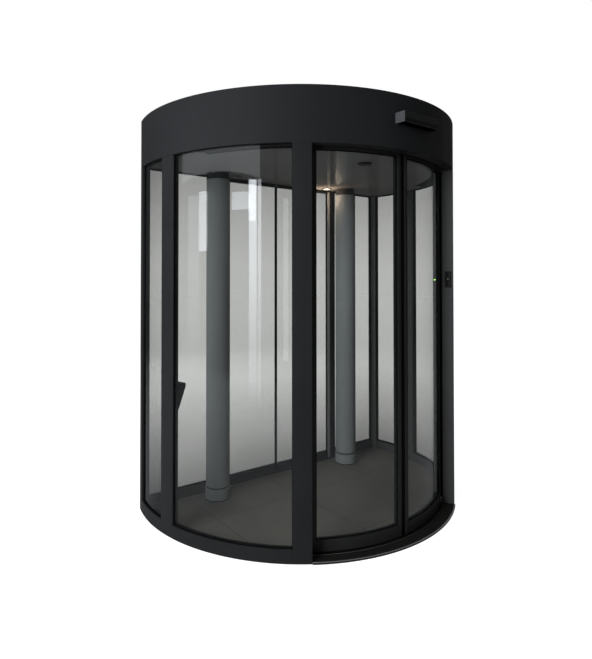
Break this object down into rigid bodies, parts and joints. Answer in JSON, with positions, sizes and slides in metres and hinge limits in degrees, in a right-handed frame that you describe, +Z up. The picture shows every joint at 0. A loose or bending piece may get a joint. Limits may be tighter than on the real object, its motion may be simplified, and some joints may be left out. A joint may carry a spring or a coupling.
{
  "type": "security portal",
  "caption": "Round glazed interlocking security portal with curved sliding entrance leaves, a flat glazed rear wall with swing leaves, detector columns and a tall canopy.",
  "frame": {"origin": "on the drum's axis at ground level", "axes": "+Z up, -Y out through the curved entrance, +Y out through the flat rear wall, +X to the right seen from the entrance"},
  "size_m": [2.1, 1.352, 2.395],
  "materials": {
    "frame_paint": "satin anthracite powder coat",
    "canopy_paint": "satin anthracite powder coat",
    "ceiling_paint": "reflective grey lacquer",
    "track_metal": "dark anodised",
    "floor_finish": "dark grey tiles, matt",
    "sill_metal": "dark, matt",
    "nosing_metal": "brushed",
    "light_lens": "frosted lens",
    "sensor_plastic": "black, slightly glossy",
    "reader_plastic": "black, glossy",
    "column_paint": "satin grey",
    "collar_paint": "satin grey",
    "glass": "clear laminated, slightly green"
  },
  "bodies": {
    "root": {"floor_plate": "floor_finish", "entrance_sill": "sill_metal", "sill_nosing": "nosing_metal", "rear_sill": "sill_metal", "left_jamb_post": "frame_paint", "right_jamb_post": "frame_paint", "left_mullion": "frame_paint", "right_mullion": "frame_paint", "left_corner_post": "frame_paint", "right_corner_post": "frame_paint", "left_base_rails": "frame_paint", "right_base_rails": "frame_paint", "left_front_glass": "glass", "right_front_glass": "glass", "left_side_glass": "glass", "right_side_glass": "glass", "canopy_fascia": "canopy_paint", "roof_panel": "canopy_paint", "ceiling_panel": "ceiling_paint", "header_track": "track_metal", "ceiling_lights": "light_lens", "ceiling_sensor": "sensor_plastic", "sensor_bar": "sensor_plastic", "access_reader": "reader_plastic", "call_console": "reader_plastic", "left_column": "column_paint", "right_column": "column_paint", "left_column_base": "collar_paint", "right_column_base": "collar_paint", "rear_left_jamb": "frame_paint", "rear_right_jamb": "frame_paint", "rear_left_rail": "frame_paint", "rear_right_rail": "frame_paint", "rear_left_glass": "glass", "rear_right_glass": "glass"},
    "left_leaf": {"left_leaf_frame": "frame_paint", "left_leaf_glass": "glass"},
    "right_leaf": {"right_leaf_frame": "frame_paint", "right_leaf_glass": "glass"},
    "rear_left_leaf": {"rear_left_leaf_frame": "frame_paint", "rear_left_leaf_glass": "glass"},
    "rear_right_leaf": {"rear_right_leaf_frame": "frame_paint", "rear_right_leaf_glass": "glass"}
  },
  "joints": [
    {"name": "left_leaf_slide", "type": "hinge", "parent": "root", "child": "left_leaf", "pos_m": [0, 0, 0], "axis": [0, 0, -1], "range_deg": [0, 31.4]},
    {"name": "right_leaf_slide", "type": "hinge", "parent": "root", "child": "right_leaf", "pos_m": [0, 0, 0], "axis": [0, 0, 1], "range_deg": [0, 31.4]},
    {"name": "rear_left_swing", "type": "hinge", "parent": "root", "child": "rear_left_leaf", "pos_m": [-0.511, 0.2265, 0], "axis": [0, 0, 1], "range_deg": [0, 90]},
    {"name": "rear_right_swing", "type": "hinge", "parent": "root", "child": "rear_right_leaf", "pos_m": [0.511, 0.2265, 0], "axis": [0, 0, -1], "range_deg": [0, 90]}
  ],
  "couplings": [
    {"joint": "right_leaf_slide", "follows": "left_leaf_slide", "ratio": 1}
  ]
}
